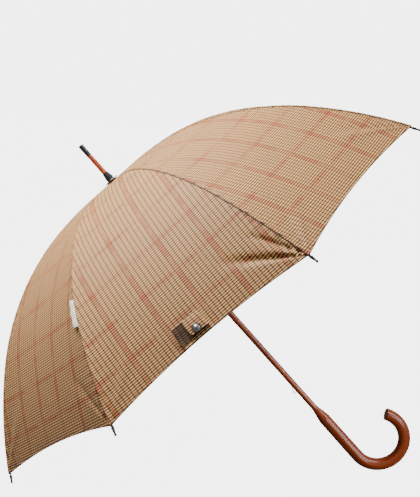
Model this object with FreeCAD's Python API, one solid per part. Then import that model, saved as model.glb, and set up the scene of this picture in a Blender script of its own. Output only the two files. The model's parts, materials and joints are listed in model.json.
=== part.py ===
import FreeCAD, Part

import math
import os

os.makedirs("parts", exist_ok=True)

V = FreeCAD.Vector

# A long walking umbrella with eight ribs, lying open on its crook and on two rib tips.
# It is modelled upright first: the origin is the crown of the canopy, +Z runs along the
# stick to the ferrule, and +X is the side on which the crook opens. The finished pieces
# are then laid down together. Everything is in millimetres.

# canopy and ribs
RIB_COUNT = 8
FIRST_RIB_DEG = 22.5
PITCH_DEG = 360.0 / RIB_COUNT
HALF_PITCH_DEG = PITCH_DEG / 2
RIB_PIVOT_R = 9.5
RIB_PIVOT_Z = -4.5
RIB_START_DEG = 4.0
RIB_ARCS = ((120.0, 11.0), (125.0, 16.2), (160.0, 20.1), (182.0, 13.4))
RIB_WIDTH = 3.2
RIB_HEIGHT = 2.6
RIB_WALL = 0.5
RIB_BODY_START = 8.5
FLEX_AT = 253.0
FLEX_GAP = 0.3
FABRIC_UNDER = 2.3
FABRIC_THICK = 0.8
HEM_BACK = 2.0
HEM_SCALLOP = 14.0
GORE_GAP = 0.15
GORE_OVERSIZE = 1.1
GORE_SIDE = {1: 0, -1: -1}
HEM_ROLLER_LENGTH = 160.0

# stick
SHAFT_R = 6.0
SPIKE_LOW_R = 4.75
SPIKE_HIGH_R = 4.4
SPIKE_END_Z = 84.0
SPIKE_FOOT_LOW_Z = -1.0
SPIKE_FOOT_TOP_Z = 0.2
SPIKE_STEP = 0.8
SHOULDER_TOP_Z = -592.0
SHOULDER_LOW_Z = -621.0
SHOULDER_R = 11.5
SHOULDER_BEND_R = 9.1
SHOULDER_BEND_DROP = 1.5
CROOK_Z = -723.0
CROOK_MID_R = 52.4
CROOK_TUBE_R = 12.0
CROOK_SWEEP_DEG = 214.0
CROOK_END_ROUND = 3.0

# ferrule, trumpet and rosette
CAP_R = 4.8
CAP_LOW_Z = 65.6
CAP_TOP_Z = 90.4
CAP_ROUND = 1.5
CAP_END_SPARE = 0.3
CONE_LOW_Z = 7.0
CONE_TOP_Z = 21.7
CONE_LOW_R = 8.0
CONE_TOP_R = 5.3
CONE_NECK_R = 6.6
CONE_NECK_GAP = 0.1
ROSETTE_R = 14.5
ROSETTE_HUB_R = 9.0
ROSETTE_HUB_Z = -0.9
ROSETTE_LOW_Z = 2.2
ROSETTE_TOP_Z = 4.2
ROSETTE_EDGE = 0.7

# top notch and runner
FIT = 0.05
WIRE_R = 0.5
EYE_R = 1.6
EYE_HOLE_R = 0.58
BLADE_WIDTH = 1.4
NOTCH_R = 12.0
NOTCH_TOP_Z = -3.2
NOTCH_LOW_Z = -11.0
NOTCH_SLOT_R = 7.3
NOTCH_SLOT_WIDTH = 2.2
RUNNER_OPEN_Z = -120.0
RUNNER_PIVOT_R = 12.5
RUNNER_BORE_R = 6.08
RUNNER_TUBE_R = 8.4
RUNNER_TUBE_LENGTH = 46.0
RUNNER_RING_R = 15.5
RUNNER_RING_HALF = 5.0
RUNNER_SLOT_R = 10.4
RUNNER_SLOT_WIDTH = 3.8
RUNNER_SLIT = 3.2
RUNNER_FOOT_R = 9.6
RUNNER_FOOT_HEIGHT = 5.0

# stretchers and their joiners
JOINER_AT = 245.0
JOINER_DROP = 6.0
JOINER_PIN_R = 1.0
JOINER_WALL = 0.4
JOINER_LENGTH = 10.0
JOINER_EAR_R = 2.3
STRETCHER_WIDTH = 3.0
STRETCHER_HEIGHT = 2.6
STRETCHER_BODY_START = 7.5
STRETCHER_EYE_R = 2.0
STRETCHER_END_WEB = 8.0
STRETCHER_WEB_DROP = 0.2
STRETCHER_EYE_FLAT = 0.7

# rib tips
TIP_SOCKET_LENGTH = 5.0
TIP_SOCKET_R = 2.2
TIP_ROD_R = 1.3
TIP_LENGTH = 12.0
TIP_BALL_R = 2.2
TIP_SPIGOT_LENGTH = 4.0
TIP_SPIGOT_WIDTH = 1.9
TIP_SPIGOT_HEIGHT = 1.4
TIP_SPIGOT_LOW = -0.9

# catch springs and the cross pins in the shaft
SPRING_WIRE_R = 0.7
SPRING_PIN_R = 0.8
SPRING_PIN_X = -3.0
SPRING_REACH = 20.0
SPRING_PROUD_X = -12.5
SPRING_FOOT_X = -4.6
SPRING_SLOT_WIDTH = 2.2
SPRING_SLOT_X = 4.2
SPRING_SLOT_SPARE = 3.6
TOP_SPRING_STEP_Z = -172.5
BOTTOM_SPRING_STEP_Z = -543.0
STOP_PIN_R = 1.0
STOP_PIN_REACH = 8.3
NOTCH_PIN_Z = -7.5

# tie strap, snap and sewn label
STRAP_PANEL_DEG = 270.0
STRAP_LENGTH = 55.0
STRAP_WIDTH = 30.0
STRAP_ABOVE_HEM = 8.0
STRAP_THICK = 1.0
STRAP_ASIDE = -9.0
STRAP_LOOP_RISE = 7.0
STRAP_TAIL_RISE = 2.4
STRAP_CLEAR = 0.5
SNAP_R = 5.5
SNAP_HEIGHT = 1.6
SNAP_DOWN = 9.0
SNAP_ASIDE = -1.5
SNAP_BASE = 4.7
SNAP_EDGE = 0.8
LABEL_RIB_DEG = 247.5
LABEL_START = 364.0
LABEL_LENGTH = 50.0
LABEL_WIDTH = 8.0
LABEL_THICK = 0.5
LABEL_CLEAR = 0.35


def polar(radius, degrees):
    """A flat vector of the given length at an angle from +X."""
    angle = math.radians(degrees)
    return V(radius * math.cos(angle), radius * math.sin(angle), 0)


def rib_point(along, above=0.0):
    """A point on the rib, in the XZ plane: distance along its middle line, height above it."""
    x = RIB_PIVOT_R
    z = RIB_PIVOT_Z
    heading = math.radians(RIB_START_DEG)
    left = along
    for number, (length, turn) in enumerate(RIB_ARCS):
        last = number == len(RIB_ARCS) - 1
        step = left if last else min(left, length)
        radius = length / math.radians(turn)
        end = heading - step / radius
        x += radius * (math.sin(heading) - math.sin(end))
        z += radius * (math.cos(end) - math.cos(heading))
        heading = end
        left -= step
        if left <= 0:
            break
    return V(x - above * math.sin(heading), 0, z + above * math.cos(heading))


def rib_heading(along):
    """The rib's direction at a distance along it, in degrees above the horizontal."""
    ahead = rib_point(along + 0.01) - rib_point(along)
    return math.degrees(math.atan2(ahead.z, ahead.x))


def panel_heading(along):
    """The direction of a panel's middle line, which falls more steeply than the rib beside it."""
    slope = math.tan(math.radians(rib_heading(along)))
    return math.degrees(math.atan(slope / math.cos(math.radians(HALF_PITCH_DEG))))


def arc_starts():
    """Distances along the rib at which one arc meets the next."""
    starts = [0.0]
    for length, _turn in RIB_ARCS:
        starts.append(starts[-1] + length)
    return starts


RIB_LENGTH = arc_starts()[-1]


def rib_strip(start, end, low, high):
    """A face in the XZ plane that follows the rib's arcs between two heights."""
    inner = [s for s in arc_starts() if start < s < end]
    stops = [start] + inner + [end]
    edges = []
    for a, b in zip(stops, stops[1:]):
        mid = (a + b) / 2
        edges.append(Part.Arc(rib_point(a, low), rib_point(mid, low), rib_point(b, low)).toShape())
    edges.append(Part.LineSegment(rib_point(end, low), rib_point(end, high)).toShape())
    for a, b in reversed(list(zip(stops, stops[1:]))):
        mid = (a + b) / 2
        edges.append(Part.Arc(rib_point(b, high), rib_point(mid, high), rib_point(a, high)).toShape())
    edges.append(Part.LineSegment(rib_point(start, high), rib_point(start, low)).toShape())
    return Part.Face(Part.Wire(edges))


def across(face, width):
    """A solid from a face in the XZ plane, centred on that plane."""
    moved = face.translated(V(0, -width / 2, 0))
    return moved.extrude(V(0, width, 0))


def plate(points, width):
    """A flat piece, centred on the XZ plane, with straight sides between the points."""
    return across(Part.Face(Part.makePolygon(points + [points[0]])), width)


def crosswise(point, radius, width):
    """A round pin or hole along Y through a point of the XZ plane."""
    return Part.makeCylinder(radius, width, point - V(0, width / 2, 0), V(0, 1, 0))


def fuse(first, *others):
    """One clean solid from pieces that touch."""
    return first.fuse(list(others)).removeSplitter()


def tube(outer, inner, low, high):
    """A round tube about the Z axis."""
    height = high - low
    outside = Part.makeCylinder(outer, height, V(0, 0, low))
    return outside.cut(Part.makeCylinder(inner, height + 2, V(0, 0, low - 1)))


def channel(start, end):
    """A length of rib: a U section, open underneath."""
    half = RIB_HEIGHT / 2
    body = across(rib_strip(start, end, -half, half), RIB_WIDTH)
    hollow = across(rib_strip(start - 1, end + 1, -half - 1, half - RIB_WALL), RIB_WIDTH - 2 * RIB_WALL)
    return body.cut(hollow)


def straight_blade(tip, towards, eye_r, hole_r, length, height):
    """A flat eye on a pin, with a blade that runs from it towards another point."""
    way = (towards - tip).normalize()
    side = V(-way.z, 0, way.x) * (height / 2)
    blade = plate([tip + side, tip + side + way * length, tip - side + way * length, tip - side], BLADE_WIDTH)
    eye = fuse(crosswise(tip, eye_r, BLADE_WIDTH), blade)
    if hole_r:
        eye = eye.cut(crosswise(tip, hole_r, BLADE_WIDTH + 2))
    return eye


def joiner_clip():
    """The folded clip that holds a stretcher's end under the rib, and its rivet."""
    inside = RIB_WIDTH + 2 * FIT
    outside = inside + 2 * JOINER_WALL
    start = JOINER_AT - JOINER_LENGTH / 2
    end = JOINER_AT + JOINER_LENGTH / 2
    top = RIB_HEIGHT / 2 + FIT
    pin = rib_point(JOINER_AT, -JOINER_DROP)
    shell = across(rib_strip(start, end, -RIB_HEIGHT / 2 - FIT, top + JOINER_WALL), outside)
    ear_top = rib_point(JOINER_AT, 0)
    sideways = (rib_point(JOINER_AT + 1) - rib_point(JOINER_AT)).normalize() * JOINER_EAR_R
    ear = plate([ear_top + sideways, ear_top - sideways, pin - sideways, pin + sideways], outside)
    solid = fuse(shell, ear, crosswise(pin, JOINER_EAR_R, outside))
    gap = across(rib_strip(start - 1, end + 1, -JOINER_DROP - 2 * JOINER_EAR_R, top), inside)
    hole = crosswise(pin, JOINER_PIN_R + FIT / 5, outside + 2)
    clip = solid.cut(gap).cut(hole)
    rivet = crosswise(pin, JOINER_PIN_R, outside)
    return clip, rivet


def rib_inner():
    """The inner half of a rib, with its root eye, and the joiner clip near its outer end."""
    root = rib_point(0)
    eye = straight_blade(root, rib_point(RIB_BODY_START), EYE_R, EYE_HOLE_R, RIB_BODY_START + 3, 2.0)
    body = channel(RIB_BODY_START, FLEX_AT - FLEX_GAP / 2)
    clip, rivet = joiner_clip()
    return Part.makeCompound([fuse(body, eye), clip, rivet])


def rib_outer():
    """The outer half of a rib."""
    return channel(FLEX_AT + FLEX_GAP / 2, RIB_LENGTH)


def rib_tip():
    """The crimped metal end of a rib: a spigot in the channel, a socket, a rod and a ball."""
    base = rib_point(RIB_LENGTH)
    heading = rib_heading(RIB_LENGTH)
    spigot_corner = V(-TIP_SPIGOT_LENGTH, -TIP_SPIGOT_WIDTH / 2, TIP_SPIGOT_LOW)
    spigot = Part.makeBox(TIP_SPIGOT_LENGTH, TIP_SPIGOT_WIDTH, TIP_SPIGOT_HEIGHT, spigot_corner)
    socket = Part.makeCylinder(TIP_SOCKET_R, TIP_SOCKET_LENGTH, V(0, 0, 0), V(1, 0, 0))
    taper_length = TIP_LENGTH - TIP_SOCKET_LENGTH
    rod = Part.makeCone(TIP_SOCKET_R, TIP_ROD_R, taper_length, V(TIP_SOCKET_LENGTH, 0, 0), V(1, 0, 0))
    ball = Part.makeSphere(TIP_BALL_R, V(TIP_LENGTH, 0, 0))
    tip = fuse(socket, spigot, rod, ball)
    tip.rotate(V(0, 0, 0), V(0, 1, 0), -heading)
    tip.translate(base)
    return tip


def stretcher():
    """The strut from the runner to a joiner: a U section with a flat eye at each end."""
    low = V(RUNNER_PIVOT_R, 0, RUNNER_OPEN_Z)
    high = rib_point(JOINER_AT, -JOINER_DROP)
    way = (high - low).normalize()
    side = V(-way.z, 0, way.x) * (STRETCHER_HEIGHT / 2)
    start = low + way * STRETCHER_BODY_START
    end = high - way * STRETCHER_BODY_START
    body = plate([start + side, end + side, end - side, start - side], STRETCHER_WIDTH)
    roof = side * (1 - 2 * RIB_WALL / STRETCHER_HEIGHT)
    floor = side * 2
    hollow_width = STRETCHER_WIDTH - 2 * RIB_WALL
    a = start - way
    b = end + way
    hollow = plate([a + roof, b + roof, b - floor, a - floor], hollow_width)
    reach = STRETCHER_BODY_START + STRETCHER_END_WEB
    flat = STRETCHER_HEIGHT * STRETCHER_EYE_FLAT
    low_eye = straight_blade(low, high, EYE_R, WIRE_R + FIT, reach, flat)
    high_eye = straight_blade(high, low, STRETCHER_EYE_R, JOINER_PIN_R + FIT, reach, flat)
    floor_web = roof * STRETCHER_WEB_DROP
    near = start + way * STRETCHER_END_WEB
    web = plate([start + roof, near + roof, near - floor_web, start - floor_web], STRETCHER_WIDTH)
    far = end - way * STRETCHER_END_WEB
    far_web = plate([far + roof, end + roof, end - floor_web, far - floor_web], STRETCHER_WIDTH)
    return fuse(body.cut(hollow), web, far_web, low_eye, high_eye)


def panel_half(start, end, side, low, high):
    """Fabric from the rib to the middle of the panel on one side, trimmed at the middle line."""
    tilt = side * HALF_PITCH_DEG
    way = polar(1, tilt + side * 90)
    reach = rib_point(end).x
    half_panel = reach * math.sin(math.radians(HALF_PITCH_DEG))
    slab = rib_strip(start, end, low, high).extrude(way * half_panel * GORE_OVERSIZE)
    size = 2 * reach
    beyond = Part.makeBox(size, size, 2 * size, V(-reach, GORE_SIDE[side] * size + side * -GORE_GAP, -size))
    beyond.rotate(V(0, 0, 0), V(0, 0, 1), tilt)
    return slab.cut(beyond)



def hem_cutter(side):
    """A large upright roller whose rim is the hem between two rib tips."""
    tilt = side * HALF_PITCH_DEG
    end = RIB_LENGTH - HEM_BACK
    corner = rib_point(end, FABRIC_UNDER)
    half_chord = corner.x * math.sin(math.radians(HALF_PITCH_DEG))
    radius = (half_chord ** 2 + HEM_SCALLOP ** 2) / (2 * HEM_SCALLOP)
    heading = math.radians(panel_heading(end - HEM_SCALLOP / 2))
    middle = polar(corner.x * math.cos(math.radians(HALF_PITCH_DEG)), tilt)
    outward = polar(math.cos(heading), tilt) + V(0, 0, math.sin(heading))
    normal = polar(-math.sin(heading), tilt) + V(0, 0, math.cos(heading))
    centre = middle + V(0, 0, corner.z) + outward * (radius - HEM_SCALLOP)
    return Part.makeCylinder(radius, HEM_ROLLER_LENGTH, centre - normal * (HEM_ROLLER_LENGTH / 2), normal)


def canopy_crown():
    """The fabric that moves with the inner half of a rib, out to the middle of each panel."""
    top = FABRIC_UNDER + FABRIC_THICK
    end = FLEX_AT - FLEX_GAP / 2
    halves = [panel_half(0, end, side, FABRIC_UNDER, top) for side in (1, -1)]
    return fuse(*halves)


def canopy_skirt():
    """The fabric that moves with the outer half of a rib, out to the scalloped hem."""
    top = FABRIC_UNDER + FABRIC_THICK
    start = FLEX_AT + FLEX_GAP / 2
    end = RIB_LENGTH - HEM_BACK
    halves = [panel_half(start, end, side, FABRIC_UNDER, top).cut(hem_cutter(side)) for side in (1, -1)]
    return fuse(*halves)


def spring_pin_z(step_z, towards):
    """Height of a catch spring's pivot: it sits at the thin end of the ramp."""
    return step_z + towards * SPRING_REACH


def rod(start, end, radius):
    """A round wire between two points, with a ball at its far end for the next bend."""
    way = end - start
    return fuse(Part.makeCylinder(radius, way.Length, start, way), Part.makeSphere(radius, end))


def catch_spring(step_z, towards):
    """A bent wire catch: an eye on a cross pin, a ramp out of the shaft, and a step back in."""
    pin = V(SPRING_PIN_X, 0, spring_pin_z(step_z, towards))
    corner = V(SPRING_PROUD_X + SPRING_WIRE_R, 0, step_z)
    foot = V(SPRING_FOOT_X, 0, step_z)
    eye_r = SPRING_PIN_R + FIT + 2 * SPRING_WIRE_R
    eye = crosswise(pin, eye_r, 2 * SPRING_WIRE_R)
    ramp_start = pin + (corner - pin).normalize() * (eye_r - SPRING_WIRE_R)
    wire = fuse(rod(ramp_start, corner, SPRING_WIRE_R), rod(corner, foot, SPRING_WIRE_R))
    return fuse(eye, wire).cut(crosswise(pin, SPRING_PIN_R + FIT, 6))


def spring_slot(step_z, towards):
    """The slot in the shaft that a catch spring folds into."""
    ends = (step_z - towards * SPRING_SLOT_SPARE, spring_pin_z(step_z, towards) + towards * SPRING_SLOT_SPARE)
    low = min(ends)
    high = max(ends)
    size = V(SHAFT_R + SPRING_SLOT_X + 2, SPRING_SLOT_WIDTH, high - low)
    return Part.makeBox(size.x, size.y, size.z, V(-SHAFT_R - 2, -SPRING_SLOT_WIDTH / 2, low))


def stop_pin_z():
    """Height of the pin that the open runner comes up against."""
    return RUNNER_OPEN_Z + RUNNER_RING_HALF + STOP_PIN_R + 0.3


def cross_pins():
    """Each pin through the shaft: its x, its height, its radius and its reach from the middle."""
    inside = math.sqrt(SHAFT_R ** 2 - (abs(SPRING_PIN_X) + SPRING_PIN_R) ** 2) - 0.3
    return ((0, NOTCH_PIN_Z, SPRING_PIN_R, NOTCH_SLOT_R - 0.4),
            (0, stop_pin_z(), STOP_PIN_R, STOP_PIN_REACH),
            (SPRING_PIN_X, spring_pin_z(TOP_SPRING_STEP_Z, -1), SPRING_PIN_R, inside),
            (SPRING_PIN_X, spring_pin_z(BOTTOM_SPRING_STEP_Z, 1), SPRING_PIN_R, inside))


def shaft_pins():
    """The notch pin, the runner's stop pin and the two spring pins."""
    pins = [crosswise(V(x, 0, z), radius, 2 * reach) for x, z, radius, reach in cross_pins()]
    return Part.makeCompound(pins)


def stick():
    """One length of wood: spike, shaft, shoulder, grip and crook."""
    crook_start = V(CROOK_TUBE_R, 0, CROOK_Z)
    shoulder_mid = V(SHOULDER_BEND_R, 0, (SHOULDER_TOP_Z + SHOULDER_LOW_Z) / 2 - SHOULDER_BEND_DROP)
    spigot_r = SPIKE_HIGH_R - SPIKE_STEP
    edges = [
        Part.LineSegment(V(0, 0, CROOK_Z), crook_start),
        Part.LineSegment(crook_start, V(SHOULDER_R, 0, SHOULDER_LOW_Z)),
        Part.Arc(V(SHOULDER_R, 0, SHOULDER_LOW_Z), shoulder_mid, V(SHAFT_R, 0, SHOULDER_TOP_Z)),
        Part.LineSegment(V(SHAFT_R, 0, SHOULDER_TOP_Z), V(SHAFT_R, 0, SPIKE_FOOT_LOW_Z)),
        Part.LineSegment(V(SHAFT_R, 0, SPIKE_FOOT_LOW_Z), V(SPIKE_LOW_R, 0, SPIKE_FOOT_TOP_Z)),
        Part.LineSegment(V(SPIKE_LOW_R, 0, SPIKE_FOOT_TOP_Z), V(SPIKE_LOW_R, 0, CONE_TOP_Z)),
        Part.LineSegment(V(SPIKE_LOW_R, 0, CONE_TOP_Z), V(SPIKE_HIGH_R, 0, CAP_LOW_Z)),
        Part.LineSegment(V(SPIKE_HIGH_R, 0, CAP_LOW_Z), V(spigot_r, 0, CAP_LOW_Z)),
        Part.LineSegment(V(spigot_r, 0, CAP_LOW_Z), V(spigot_r, 0, SPIKE_END_Z)),
        Part.LineSegment(V(spigot_r, 0, SPIKE_END_Z), V(0, 0, SPIKE_END_Z)),
        Part.LineSegment(V(0, 0, SPIKE_END_Z), V(0, 0, CROOK_Z)),
    ]
    outline = Part.Face(Part.Wire([edge.toShape() for edge in edges]))
    turned = outline.revolve(V(0, 0, 0), V(0, 0, 1), 360)
    disc = Part.Face(Part.Wire(Part.makeCircle(CROOK_TUBE_R, V(0, 0, CROOK_Z), V(0, 0, 1))))
    crook = disc.revolve(V(CROOK_MID_R, 0, CROOK_Z), V(0, -1, 0), CROOK_SWEEP_DEG)
    end = crook_end()
    rim = [edge for edge in crook.Edges if edge.CenterOfMass.distanceToPoint(end) < 1.0]
    crook = crook.makeFillet(CROOK_END_ROUND, rim[:1])
    wood = turned.fuse(crook)
    for slot in (spring_slot(TOP_SPRING_STEP_Z, -1), spring_slot(BOTTOM_SPRING_STEP_Z, 1)):
        wood = wood.cut(slot)
    for x, z, radius, _reach in cross_pins():
        wood = wood.cut(crosswise(V(x, 0, z), radius + FIT / 5, 4 * SHAFT_R))
    return wood


def crook_end():
    """The middle of the crook's cut end."""
    angle = math.radians(CROOK_SWEEP_DEG - 180)
    return V(CROOK_MID_R + CROOK_MID_R * math.cos(angle), 0, CROOK_Z + CROOK_MID_R * math.sin(angle))


def ferrule_cap():
    """The closed metal sleeve over the end of the spike."""
    height = CAP_TOP_Z - CAP_LOW_Z
    sleeve = Part.makeCylinder(CAP_R, height, V(0, 0, CAP_LOW_Z))
    rim = [edge for edge in sleeve.Edges if abs(edge.CenterOfMass.z - CAP_TOP_Z) < 0.01]
    sleeve = sleeve.makeFillet(CAP_ROUND, rim[:1])
    depth = SPIKE_END_Z + CAP_END_SPARE - CAP_LOW_Z
    bore = Part.makeCylinder(SPIKE_HIGH_R - SPIKE_STEP + FIT, depth + 1, V(0, 0, CAP_LOW_Z - 1))
    return sleeve.cut(bore)


def ferrule_cone():
    """The trumpet below the spike, with the narrow neck that stands on the rosette."""
    cone = Part.makeCone(CONE_LOW_R, CONE_TOP_R, CONE_TOP_Z - CONE_LOW_Z, V(0, 0, CONE_LOW_Z))
    neck_low = ROSETTE_TOP_Z + CONE_NECK_GAP
    neck = Part.makeCylinder(CONE_NECK_R, CONE_LOW_Z - neck_low, V(0, 0, neck_low))
    bore = Part.makeCylinder(SPIKE_LOW_R + FIT, CONE_TOP_Z, V(0, 0, 1))
    return fuse(cone, neck).cut(bore)


def rosette():
    """The flat disc that clamps the middle of the canopy, on its hub."""
    disc = Part.makeCylinder(ROSETTE_R, ROSETTE_TOP_Z - ROSETTE_LOW_Z, V(0, 0, ROSETTE_LOW_Z))
    rims = [edge for edge in disc.Edges if edge.Curve.TypeId == "Part::GeomCircle"]
    disc = disc.makeFillet(ROSETTE_EDGE, rims)
    hub_height = ROSETTE_TOP_Z - ROSETTE_EDGE - ROSETTE_HUB_Z
    hub = Part.makeCylinder(ROSETTE_HUB_R, hub_height, V(0, 0, ROSETTE_HUB_Z))
    wide_low = ROSETTE_HUB_Z - 1
    bore = Part.makeCylinder(SHAFT_R + FIT, SPIKE_FOOT_TOP_Z - wide_low, V(0, 0, wide_low))
    narrow = Part.makeCylinder(SPIKE_LOW_R + FIT, ROSETTE_TOP_Z + 1 - wide_low, V(0, 0, wide_low))
    return fuse(disc, hub).cut(bore).cut(narrow)


def rib_angles():
    """The direction of each rib about the stick, in degrees."""
    return [FIRST_RIB_DEG + PITCH_DEG * number for number in range(RIB_COUNT)]


def slotted_ring(ring, slot_r, width, low, high):
    """Cut a slot for every rib from slot_r outwards."""
    for degrees in rib_angles():
        slot = Part.makeBox(20, width, high - low, V(slot_r, -width / 2, low))
        slot.rotate(V(0, 0, 0), V(0, 0, 1), degrees)
        ring = ring.cut(slot)
    return ring


def top_notch():
    """The slotted ring that the ribs hang from, and the wire that holds them in it."""
    ring = tube(NOTCH_R, SHAFT_R + FIT, NOTCH_LOW_Z, NOTCH_TOP_Z)
    ring = slotted_ring(ring, NOTCH_SLOT_R, NOTCH_SLOT_WIDTH, NOTCH_LOW_Z - 1, NOTCH_TOP_Z + 1)
    groove_half = WIRE_R + FIT
    groove_low = RIB_PIVOT_Z - groove_half
    groove = tube(NOTCH_R + 1, RIB_PIVOT_R - groove_half, groove_low, RIB_PIVOT_Z + groove_half)
    ring = ring.cut(groove)
    ring = ring.cut(crosswise(V(0, 0, NOTCH_PIN_Z), SPRING_PIN_R + FIT / 5, 2 * NOTCH_SLOT_R - 0.6))
    wire = Part.makeTorus(RIB_PIVOT_R, WIRE_R, V(0, 0, RIB_PIVOT_Z))
    return Part.makeCompound([ring, wire])


def runner():
    """The sliding sleeve with its slotted ring, slit down one side for the catch springs."""
    ring_low = RUNNER_OPEN_Z - RUNNER_RING_HALF
    ring_high = RUNNER_OPEN_Z + RUNNER_RING_HALF
    low = ring_low - RUNNER_TUBE_LENGTH
    sleeve = Part.makeCylinder(RUNNER_TUBE_R, ring_high - low, V(0, 0, low))
    ring = Part.makeCylinder(RUNNER_RING_R, 2 * RUNNER_RING_HALF, V(0, 0, ring_low))
    foot = Part.makeCylinder(RUNNER_FOOT_R, RUNNER_FOOT_HEIGHT, V(0, 0, low))
    length = ring_high - low
    body = fuse(sleeve, ring, foot).cut(Part.makeCylinder(RUNNER_BORE_R, length + 2, V(0, 0, low - 1)))
    body = slotted_ring(body, RUNNER_SLOT_R, RUNNER_SLOT_WIDTH, ring_low - 1, ring_high + 1)
    slit_corner = V(-2 * RUNNER_RING_R, -RUNNER_SLIT / 2, low - 1)
    slit = Part.makeBox(2 * RUNNER_RING_R, RUNNER_SLIT, length + 2, slit_corner)
    return body.cut(slit)


def on_panel(shape, along, above, panel_deg):
    """Place a piece made flat at the origin onto the middle of a panel.

    The piece's +X becomes the way down the panel, and its +Z the outward normal.
    """
    heading = panel_heading(along)
    shape = shape.copy()
    shape.rotate(V(0, 0, 0), V(0, 1, 0), -heading)
    point = rib_point(along, FABRIC_UNDER + FABRIC_THICK)
    shape.translate(V(point.x * math.cos(math.radians(HALF_PITCH_DEG)), 0, point.z))
    lift = V(-math.sin(math.radians(heading)), 0, math.cos(math.radians(heading))) * above
    shape.translate(lift)
    shape.rotate(V(0, 0, 0), V(0, 0, 1), panel_deg)
    return shape


def strap_along():
    """Where the middle of the strap's width lies, measured along a rib."""
    return RIB_LENGTH - HEM_BACK - HEM_SCALLOP - STRAP_ABOVE_HEM - STRAP_WIDTH / 2


def strap():
    """The tie band, folded back on itself into a loop that stands open at one end."""
    half = STRAP_LENGTH / 2
    rise = STRAP_LOOP_RISE / 2
    outer = [V(0, half, 0), V(0, -half + rise, 0)]
    low_edge = Part.LineSegment(outer[0], outer[1]).toShape()
    nose = Part.Arc(outer[1], V(0, -half, rise), V(0, -half + rise, 2 * rise)).toShape()
    back = Part.LineSegment(V(0, -half + rise, 2 * rise), V(0, half, STRAP_TAIL_RISE)).toShape()
    cap = Part.LineSegment(V(0, half, STRAP_TAIL_RISE), outer[0]).toShape()
    block = Part.Face(Part.Wire([low_edge, nose, back, cap]))
    hollow = block.makeOffset2D(-STRAP_THICK, 0, False, False, False)
    band = block.cut(hollow)
    band.translate(V(-STRAP_WIDTH / 2, STRAP_ASIDE, 0))
    solid = band.extrude(V(STRAP_WIDTH, 0, 0))
    return on_panel(solid, strap_along(), STRAP_CLEAR, STRAP_PANEL_DEG)


def snap_button():
    """The round snap on the outside of the strap."""
    disc = Part.makeCylinder(SNAP_R, SNAP_HEIGHT, V(SNAP_DOWN, SNAP_ASIDE, SNAP_BASE))
    top = [edge for edge in disc.Edges if abs(edge.CenterOfMass.z - SNAP_BASE - SNAP_HEIGHT) < 0.01]
    disc = disc.makeFillet(SNAP_EDGE, top[:1])
    return on_panel(disc, strap_along(), STRAP_CLEAR, STRAP_PANEL_DEG)


def label():
    """A blank fabric tab sewn into a seam, flat on the panel beside it."""
    low = FABRIC_UNDER + FABRIC_THICK + LABEL_CLEAR
    face = rib_strip(LABEL_START, LABEL_START + LABEL_LENGTH, low, low + LABEL_THICK)
    way = polar(1, -HALF_PITCH_DEG - 90)
    tab = face.extrude(way * LABEL_WIDTH)
    tab.rotate(V(0, 0, 0), V(0, 0, 1), LABEL_RIB_DEG)
    return tab


def crook_bottom(lean):
    """Height of the lowest point of the crook when the stick leans by an angle in radians."""
    outer = CROOK_MID_R + CROOK_TUBE_R
    return CROOK_MID_R * math.cos(lean) + CROOK_Z * math.sin(lean) - outer


def tip_bottom(lean):
    """Height of the lowest point of the two resting rib tips at the same lean."""
    end = rib_point(RIB_LENGTH)
    heading = math.radians(rib_heading(RIB_LENGTH))
    r = end.x + TIP_LENGTH * math.cos(heading)
    z = end.z + TIP_LENGTH * math.sin(heading)
    x = -r * math.cos(math.radians(HALF_PITCH_DEG))
    return x * math.cos(lean) + z * math.sin(lean) - TIP_BALL_R


def resting_lean():
    """The stick's angle above the floor at which the crook and two rib tips all touch it."""
    low = math.radians(20)
    high = math.radians(70)
    for _step in range(60):
        middle = (low + high) / 2
        if crook_bottom(middle) < tip_bottom(middle):
            high = middle
        else:
            low = middle
    return (low + high) / 2


def laying_matrix():
    """Turn the upright umbrella into the way it lies: ferrule up and towards -X."""
    lean = resting_lean()
    matrix = FreeCAD.Matrix()
    matrix.A11 = math.sin(lean)
    matrix.A13 = -math.cos(lean)
    matrix.A31 = math.cos(lean)
    matrix.A33 = math.sin(lean)
    return matrix


def build_upright():
    """Every piece by name, in the upright frame."""
    pieces = {
        "stick": stick(),
        "ferrule_cap": ferrule_cap(),
        "ferrule_cone": ferrule_cone(),
        "rosette": rosette(),
        "top_notch": top_notch(),
        "top_spring": catch_spring(TOP_SPRING_STEP_Z, -1),
        "bottom_spring": catch_spring(BOTTOM_SPRING_STEP_Z, 1),
        "shaft_pins": shaft_pins(),
        "runner": runner(),
        "strap": strap(),
        "snap_button": snap_button(),
        "label": label(),
    }
    repeated = {
        "rib_inner": rib_inner(),
        "rib_outer": rib_outer(),
        "rib_tip": rib_tip(),
        "stretcher": stretcher(),
        "canopy_crown": canopy_crown(),
        "canopy_skirt": canopy_skirt(),
    }
    for name, shape in repeated.items():
        for number, degrees in enumerate(rib_angles(), start=1):
            turned = shape.copy()
            turned.rotate(V(0, 0, 0), V(0, 0, 1), degrees)
            pieces[f"{name}_{number}"] = turned
    return pieces


def laid_down():
    """Every piece laid down and centred over the origin, with the matrix and the shift used."""
    matrix = laying_matrix()
    laid = {}
    for name, shape in build_upright().items():
        laid[name] = shape.transformShape(matrix, True)
    box = FreeCAD.BoundBox()
    for shape in laid.values():
        box.add(shape.optimalBoundingBox(False, False))
    shift = V(-box.Center.x, -box.Center.y, -box.ZMin)
    for shape in laid.values():
        shape.translate(shift)
    return laid, matrix, shift


def main():
    """Write every piece to its own file."""
    laid, _matrix, _shift = laid_down()
    for name, shape in laid.items():
        shape.exportStep(f"parts/{name}.step")
    print(len(laid), "pieces written")


main()
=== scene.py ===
import json
import math

import bmesh
import bpy
import numpy as np
from mathutils import Matrix, Vector


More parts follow.
